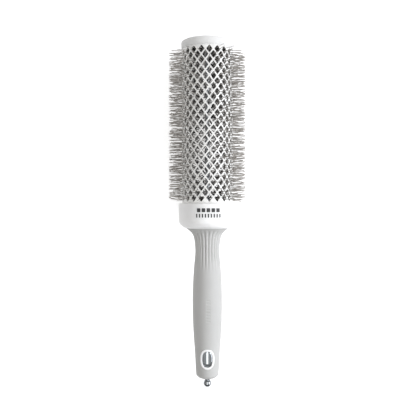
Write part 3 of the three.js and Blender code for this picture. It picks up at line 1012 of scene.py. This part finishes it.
@dataclass
class Grip:
    """The soft grip: a sleeve over the core with flutes, a row of small ticks and a button opening.

    Its outside is r(y) turned about Y, less the flutes and the ticks. A flute's groove takes
    depth (1 - |sin(12 (a - phase))|) away, so that crests are round and grooves narrow. tick_half
    is a tick's half width and half height.
    """

    stations: tuple[tuple[float, float], ...] = (
        (-112.5, 7.88), (-109.8, 8.1), (-101.3, 8.53), (-92.8, 9.09), (-80.0, 9.92), (-71.5, 10.24),
        (-63.0, 10.4), (-54.5, 10.32), (-46.0, 10.0), (-37.5, 9.46), (-33.3, 9.11), (-29.0, 8.65),
        (-25.5, 8.5), (-20.5, 8.83), (-16.3, 9.46), (-14.1, 10.2), (-12.6, 11.15), (-11.5, 12.25),
        (-10.7, 13.2), (-9.5, 14.75),
    )
    core: tuple[tuple[float, float], ...] = (
        (-112.6, 6.2), (-84.4, 8.1), (-63.1, 8.8), (-25.6, 6.9), (-14.2, 8.4), (-11.5, 10.3),
    )
    flutes: int = 24
    phase: float = 4.1
    depth: float = 0.72
    flute_start: tuple[float, float] = (-41.0, -26.0)
    flute_end: tuple[float, float] = (-11.6, -10.4)
    columns: int = 288
    window_columns: int = 45
    window_rows: int = 18
    window_half: float = 9.4
    clearance: float = 0.1
    ticks: int = 8
    tick_depth: float = 0.16
    tick_low: float = -74.9
    tick_high: float = -58.4
    tick_middle: float = 0.75
    tick_half: tuple[float, float] = (1.4, 0.55)
    tick_edge: float = 0.25

    def __post_init__(self) -> None:
        """Takes the opening's place and size from the bezel's node."""
        low, high = span("button_bezel")
        self.opening = (low + high) / 2
        self.half = (high - low) / 2 + self.clearance

    def radius(self, y: np.ndarray) -> np.ndarray:
        """The plain outer radius at a height."""
        return curve_through(self.stations, y)

    def outside(self, angle: np.ndarray, y: np.ndarray) -> np.ndarray:
        """The outer radius with flutes and ticks.

        Args:
            angle: Angle from +Z towards +X.
            y: Height.

        Returns:
            The radius at each place.
        """
        wave = np.sin(self.flutes / 2 * (angle - math.radians(self.phase)))
        groove = 1.0 - np.sqrt(wave**2 + 0.02)
        fluted = smooth(y, *self.flute_start) * (1 - smooth(y, *self.flute_end))
        pitch = (self.tick_high - self.tick_low) / self.ticks
        plain = self.radius(y)
        sideways = np.abs(plain * np.sin(angle) - self.tick_middle)
        upwards = np.abs(((y - self.tick_low) / pitch) % 1.0 - 0.5) * pitch
        tick = (y > self.tick_low) * (y < self.tick_high) * (np.cos(angle) > 0)
        for off, half in zip((sideways, upwards), self.tick_half):
            tick = tick * (1 - smooth(off, half - self.tick_edge, half))
        return plain - self.depth * fluted * groove - self.tick_depth * tick

    def inside(self, angle: np.ndarray, y: np.ndarray) -> np.ndarray:
        """The inner radius, which is straight between the core's stations."""
        place, radius = np.array(self.core).T
        return np.interp(y, place, radius) + 0 * angle

    def angles(self) -> np.ndarray:
        """The columns' angles, one of which lies on a groove."""
        return math.radians(self.phase) + TAU * (np.arange(self.columns) - self.columns // 2) / self.columns

    def windowed(
        self, below: np.ndarray, above: np.ndarray, surface: Callable[[np.ndarray, np.ndarray], np.ndarray]
    ) -> tuple[np.ndarray, list[np.ndarray], np.ndarray, int]:
        """One skin of the grip, with a patch that leads from a window in its grid to the opening.

        The grid is (surface(a, y) sin a, y, surface(a, y) cos a). The patch's rings lie between
        the window's loop and the opening's oval.

        Args:
            below: Heights of the rows under the window.
            above: Heights of the rows over it.
            surface: The skin's radius as a function of angle and height.

        Returns:
            Points, faces, the indices of the oval's points and where the last row starts.
        """
        middle = self.opening[1]
        window = np.linspace(middle - self.window_half, middle + self.window_half, self.window_rows)
        y = np.concatenate([below, window, above])
        angle = self.angles()
        grid_a, grid_y = np.meshgrid(angle, y)
        faces = grid_faces(len(y), self.columns)
        first, last = len(below), len(below) + self.window_rows - 1
        left = int(np.argmin(np.abs(angle))) - self.window_columns
        right = left + 2 * self.window_columns
        row, column = faces[:, 0] // self.columns, faces[:, 0] % self.columns
        faces = faces[~((row >= first) & (row < last) & (column >= left) & (column < right))]
        across, up = np.arange(left, right), np.arange(first, last)
        loop_column = np.concatenate([across, 0 * up + right, across[::-1] + 1, 0 * up + left])
        loop_row = np.concatenate([0 * across + first, up, 0 * across + last, up[::-1] + 1])
        loop_a, loop_y = angle[loop_column], y[loop_row]
        turn = np.arctan2((loop_y - middle) / self.window_half, loop_a / angle[right])
        oval_x, oval_y = oval(self.half, turn)
        oval_y = oval_y + middle
        oval_a = np.arcsin(oval_x / surface(0 * oval_x, oval_y))
        share = np.array([0.0, 0.3, 0.55, 0.75, 0.9, 1.0])[:, None]
        ring_a = (1 - share) * loop_a + share * oval_a
        ring_y = (1 - share) * loop_y + share * oval_y
        patch = grid_faces(len(share), len(loop_a)) + grid_a.size
        all_a = np.concatenate([grid_a.ravel(), ring_a.ravel()])
        all_y = np.concatenate([grid_y.ravel(), ring_y.ravel()])
        points = around(surface(all_a, all_y), all_a, all_y)
        edge = grid_a.size + (len(share) - 1) * len(loop_a) + np.arange(len(loop_a))
        return points, [faces, patch], edge, (len(y) - 1) * self.columns

    def build(self) -> None:
        """Builds the grip: two skins joined at both ends and round the opening."""
        middle, half = self.opening[1], self.window_half
        start, end = self.stations[0][0], self.stations[-1][0]
        below = np.linspace(start, middle - half, 6)[:-1]
        above = np.concatenate([
            np.linspace(middle + half, self.tick_low - 1, 9)[1:],
            np.linspace(self.tick_low - 0.8, self.tick_high + 0.8, 72),
            np.linspace(self.tick_high + 1, -42.0, 10),
            np.linspace(-41.0, -18.0, 34),
            np.linspace(-17.5, end, 22),
        ])
        outer, outer_faces, outer_oval, outer_top = self.windowed(below, above, self.outside)
        bare_above = np.concatenate([np.linspace(middle + half, -63.1, 8)[1:], [-45.0, -25.6, -14.2, -11.5]])
        inner, inner_faces, inner_oval, inner_top = self.windowed(np.array([-112.6]), bare_above, self.inside)
        shift = len(outer)
        nose = filleted([
            (7.88, start, 0), (7.75, -113.1, 0.5), (6.5, -114.3, 0.7), (5.0, -115.0, 0.6), (3.85, -115.25, 0),
        ])
        nose = np.concatenate([nose[1:], [(3.85, -112.9), (6.2, -112.9)]])
        lip = np.array([(14.6, -9.45), (10.95, -9.45), (10.95, -10.2)])
        columns = np.arange(self.columns)
        points, faces = [outer, inner], [*outer_faces, *(group + shift for group in inner_faces)]
        total = shift + len(inner)
        for outline, first, last in (
            (nose, columns, shift + columns),
            (lip, outer_top + columns, shift + inner_top + columns),
        ):
            ring = around(outline[:, :1], self.angles(), outline[:, 1:]).reshape(-1, 3)
            indices = total + np.arange(len(ring)).reshape(-1, self.columns)
            faces.append(bridged(np.concatenate([[first], indices, [last]])))
            points.append(ring)
            total += len(ring)
        faces.append(bridged(np.stack([outer_oval, inner_oval + shift])))
        part = Part("soft_grip_sleeve", SOFT_GRIP.material(), Body.BRUSH, ("grip",))
        piece(part, np.concatenate(points), faces)


# ---- Release button ------------------------------------------------------------------------------


@dataclass
class ReleaseButton:
    """The oval bezel in the grip and the chromed dome inside it, which both follow the handle.

    inwards and rises are the bezel's section, as shares of ring and of proud.
    """

    grip: Grip
    ring: float = 1.5
    proud: float = 0.36
    inwards: tuple[float, ...] = (0.0, 0.0, 0.024, 0.112, 0.272, 0.48, 0.688, 0.848, 0.952, 1.0, 1.0)
    rises: tuple[float, ...] = (-9.0, -0.3, 0.02, 0.72, 0.95, 1.0, 0.9, 0.55, 0.0, -1.5, -9.0)
    sunk: float = 0.05
    edge: float = 0.35
    shoulder: float = 2.2
    fall: float = 0.9
    flange: float = 0.1
    plug: float = 0.985
    cavity: float = 0.9
    recess: float = 1.15
    points: int = 144

    def handle(self, x: np.ndarray, y: np.ndarray) -> np.ndarray:
        """The height of the handle's outside over a place: sqrt(r(y)^2 - x^2)."""
        return np.sqrt(self.grip.radius(y) ** 2 - x**2)

    def bezel(self) -> None:
        """Builds the ring: a rounded section carried round the oval.

        The oval's outward normal is (X / a, Y / b) scaled to length 1, with X and Y the oval of
        half sizes 1 to the power n - 1; the section steps inwards along it and up from the
        handle's surface.
        """
        low, high = span("button_bezel")
        middle, half = (low + high) / 2, (high - low) / 2
        turn = TAU * np.arange(self.points)[:, None] / self.points
        unit = np.concatenate(oval(np.ones(2), turn), axis=1)
        normal = np.sign(unit) * np.abs(unit) ** (OVAL_POWER - 1) / half[:2]
        normal /= np.linalg.norm(normal, axis=1, keepdims=True)
        edge_x, edge_y = oval(half, turn)
        inward = self.ring * np.array(self.inwards)
        x = edge_x - normal[:, :1] * inward
        y = middle[1] + edge_y - normal[:, 1:] * inward
        z = self.handle(x, y) + self.proud * np.array(self.rises)
        z[:, [0, -1]] = low[2]
        points = np.stack([x, y, z], axis=-1).reshape(-1, 3)
        part = Part("bezel_ring", BEZEL_ABS.material(), Body.BRUSH, ("button_bezel",))
        piece(part, points, [grid_faces(self.points, inward.size, wrap_rows=True)])

    def dome(self) -> None:
        """Builds the button: an oval plug with a polished top and a recess over its springs.

        A top point at share s of the oval stands on the handle's surface less a rounded edge, and
        the low end falls away further as the square of how far it is past the shoulder. The top's
        high end is as squarish as the bezel, and its low end and the plug under it are ellipses.
        """
        low, high = span("release_button")
        middle, half = (low + high) / 2, (high - low) / 2
        turn = TAU * np.arange(self.points) / self.points
        share = np.concatenate([np.linspace(0, 0.8, 14), np.linspace(0.83, 1.0, 12)])[:, None]
        plug = np.stack([half[0] * np.cos(turn), half[1] * np.sin(turn)])
        edge_x, edge_y = plug + smooth(np.sin(turn), -0.5, 0.0) * (np.stack(oval(half, turn)) - plug)
        x, y = share * edge_x, middle[1] + share * edge_y
        edge = self.edge * (1 - np.sqrt(1 - smooth(share, 0.82, 1.0) ** 2 * 0.98))
        past = np.maximum((middle[1] - self.shoulder - y) / (half[1] - self.shoulder), 0.0)
        z = self.handle(x, y) - self.sunk - edge - self.fall * past**2
        under, foot = z[-1] - self.flange, 0 * turn + low[2]
        roof = foot + self.recess
        rows = [(edge_x, edge_y, under)]
        for size, height in (
            (self.plug, under), (self.plug, foot), (self.cavity, foot), (self.cavity, roof), (0, roof),
        ):
            rows.append((size * plug[0], size * plug[1], height))
        below = np.array(rows).transpose(0, 2, 1) + np.array([0, middle[1], 0])
        points = np.concatenate([np.stack([x, y, z], axis=-1), below])
        part = Part("button_dome", CHROME.material(), Body.BUTTON, ("release_button",))
        piece(part, points.reshape(-1, 3), [grid_faces(len(points), self.points)])

    def build(self) -> None:
        """Builds the bezel and the button."""
        self.bezel()
        self.dome()


# ---- Sectioning pin ------------------------------------------------------------------------------


@dataclass
class SectioningPin:
    """The chromed pin that slides in the handle, with its ball, and the ferrule it leaves by."""

    rod: float = 1.75
    groove: float = 1.2
    groove_margin: float = 0.2
    tang: float = 0.9
    tang_length: float = 1.6
    ball_collar: float = 0.3
    fit: float = 0.05
    ferrule_fit: float = 0.12
    flange: float = 0.2
    segments: int = 64

    def build(self) -> None:
        """Builds the ball, the rod and the exit ferrule.

        The ball's outline is R (cos u, sin u) about its centre, up to where it meets the rod.
        """
        ball_low, ball_high = span("pin_ball")
        ball = ball_high[0]
        centre = ball_low[1] + ball
        neck = centre + math.sqrt(ball**2 - self.rod**2)
        chrome = CHROME.material()
        sphere = np.linspace(-TAU / 4, math.acos(self.rod / ball), 40)
        outline = np.stack([ball * np.cos(sphere), centre + ball * np.sin(sphere)], axis=-1)
        outline[0, 0] = 0.0
        bore, top, floor = self.tang + self.fit, neck + self.ball_collar, neck - self.tang_length
        socket = filleted(
            [(self.rod, neck, 0), (self.rod, top, 0.1), (bore, top, 0.1), (bore, floor, 0.1), (0, floor, 0)],
            steps=3,
        )
        tip = np.concatenate([outline, socket[1:]])
        turned(Part("pin_ball_polished", chrome, Body.PIN, ("pin_ball",)), tip, self.segments)

        rod_low, rod_high = span("pin_rod")
        stop_low, stop_high = span("pin_stop")
        start, foot, end = rod_low[1], top + 0.02, rod_high[1]
        under, over = stop_low[1] - self.groove_margin, stop_high[1] + self.groove_margin
        shank = filleted([
            (0, start, 0), (self.tang, start, 0.15), (self.tang, foot, 0), (self.rod, foot, 0.1),
            (self.rod, under, 0.1), (self.groove, under, 0.05), (self.groove, over, 0.05),
            (self.rod, over, 0.1), (self.rod, end, 0.4), (0, end, 0),
        ], steps=3)
        turned(Part("pin_rod_polished", chrome, Body.PIN, ("pin_rod",)), shank, self.segments)

        low, high = span("exit_ferrule")
        hole, outer = self.rod + self.ferrule_fit, high[0] + self.flange
        collet = filleted([
            (hole, low[1], 0.25), (outer, low[1], 0.35), (outer, high[1], 0.2), (hole, high[1], 0.3),
            (hole, low[1] + 0.01, 0),
        ], steps=4)
        ferrule = Part("exit_ferrule_turned", ZINC_STEEL.material(), Body.BRUSH, ("exit_ferrule",))
        turned(ferrule, collet, self.segments)


@dataclass
class HiddenParts:
    """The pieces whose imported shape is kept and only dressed."""

    finishes: tuple[tuple[Finish, tuple[str, ...]], ...] = (
        (CORE_NYLON, ("handle_core",)),
        (ZINC_STEEL, ("stem_ferrule", "brake_stirrup", "pin_stop")),
        (SPRING_STEEL, ("button_spring_a", "button_spring_b")),
        (NITRILE, ("friction_ring",)),
    )

    def build(self) -> None:
        """Gives each kept node its finish."""
        for finish, names in self.finishes:
            material = finish.material()
            for name in names:
                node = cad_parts[name]
                node.data.materials.clear()
                node.data.materials.append(material)
                log.info("%s: dressed in %s", name, finish.name)


# ---- Studio --------------------------------------------------------------------------------------


@dataclass(frozen=True)
class Softbox:
    """A rectangular studio light: its middle, its size in metres, its radiance and its colour."""

    name: str
    middle: tuple[float, float, float]
    size: tuple[float, float]
    radiance: float
    colour: str = "ffffff"

    def hang(self, aim: Vector) -> None:
        """Hangs the light facing a point. Its power is radiance times pi times its area.

        Args:
            aim: The point it faces, in metres.
        """
        data = bpy.data.lights.new(self.name, "AREA")
        data.shape = "RECTANGLE"
        data.size, data.size_y = self.size
        data.energy = self.radiance * math.pi * self.size[0] * self.size[1]
        data.color = linear(self.colour)[:3]
        light = bpy.data.objects.new(self.name, data)
        light.visible_camera = False
        bpy.context.scene.collection.objects.link(light)
        middle = Vector(self.middle)
        down = (aim - middle).normalized()
        side = Vector((0, 1, 0)).cross(-down).normalized()
        turn = np.array([side, (-down).cross(side), -down]).T
        light.matrix_world = Matrix.Translation(middle) @ Matrix(turn.tolist()).to_4x4()


@dataclass
class Studio:
    """Camera, floor, world and lights, all in metres.

    The floor glows by floor_glow up to the first distance of floor_reach and by nothing past the
    second. The world's strength goes from horizon to ceiling over the heights of room_reach.
    """

    camera_at: tuple[float, float, float] = (0.00047, 0.00495, 0.400)
    lens: float = 48.84
    sensor: float = 36.0
    floor_gap: float = 0.0005
    floor_half: float = 3.0
    floor_glow: float = 0.5
    floor_reach: tuple[float, float] = (0.22, 0.6)
    horizon: float = 0.02
    ceiling: float = 0.6
    room_reach: tuple[float, float] = (0.35, 0.85)
    lights: tuple[Softbox, ...] = (
        Softbox("strip_overhead", (0.0, 0.0, 0.9), (0.27, 1.5), 2.5),
        Softbox("key_right", (1.0, -0.05, 0.55), (0.5, 1.1), 7.1, "f8faff"),
        Softbox("card_left", (-0.9, 0.0, 0.72), (0.14, 1.2), 1.2, "fff4ea"),
    )

    def build(self) -> None:
        """Sets up everything that isn't the brush."""
        scene = bpy.context.scene
        scene.view_settings.view_transform = "Standard"
        data = bpy.data.cameras.new("camera")
        data.sensor_width = self.sensor
        data.lens = self.lens
        data.clip_start = 0.01
        camera = bpy.data.objects.new("camera", data)
        camera.location = self.camera_at
        scene.collection.objects.link(camera)
        scene.camera = camera
        for light in self.lights:
            light.hang(Vector((0, 0, 0)))
        scene.world = self.room()
        self.floor()
        log.info("studio: %d lights", len(self.lights))

    def room(self) -> bpy.types.World:
        """Builds the world: a dark room whose ceiling glows.

        Returns:
            The world.
        """
        world = bpy.data.worlds.new("studio")
        world.use_nodes = True
        tree = world.node_tree
        place = add_node(tree, "ShaderNodeTexCoord").outputs["Generated"]
        height = add_node(tree, "ShaderNodeSeparateXYZ", {"Vector": place}).outputs["Z"]
        glow = remapped(tree, height, self.horizon, self.ceiling, self.room_reach)
        background = tree.nodes["Background"]
        tree.links.new(glow, background.inputs["Strength"])
        background.inputs["Color"].default_value = WHITE
        return world

    def floor(self) -> None:
        """Builds the pale sweep that the brush lies over, lit from below near the brush."""
        level = CAD_BOX[0][2] - self.floor_gap
        sides = (-self.floor_half, self.floor_half)
        corners = [(x, y, level) for y in sides for x in sides]
        mesh = bpy.data.meshes.new("floor")
        mesh.from_pydata(corners, [], [(0, 1, 3, 2)])
        material, tree, shader = PAPER.blank()
        shader.inputs["Emission Color"].default_value = WHITE
        place = add_node(tree, "ShaderNodeTexCoord").outputs["Object"]
        away = add_node(tree, "ShaderNodeVectorMath", {0: place}, operation="LENGTH").outputs["Value"]
        glow = remapped(tree, away, self.floor_glow, 0.0, self.floor_reach)
        tree.links.new(glow, shader.inputs["Emission Strength"])
        mesh.materials.append(material)
        floor = bpy.data.objects.new("floor", mesh)
        bpy.context.scene.collection.objects.link(floor)


def main() -> None:
    """Builds the brush piece by piece round the frame."""
    logging.basicConfig(level=logging.INFO, format="%(name)s: %(message)s")
    Studio().build()
    sleeve = Sleeve()
    sleeve.build()
    EndCap().build()
    Bristles(sleeve).build()
    Stem().build()
    Collar().build()
    grip = Grip()
    grip.build()
    ReleaseButton(grip).build()
    SectioningPin().build()
    HiddenParts().build()


if __name__ == "__main__":
    main()
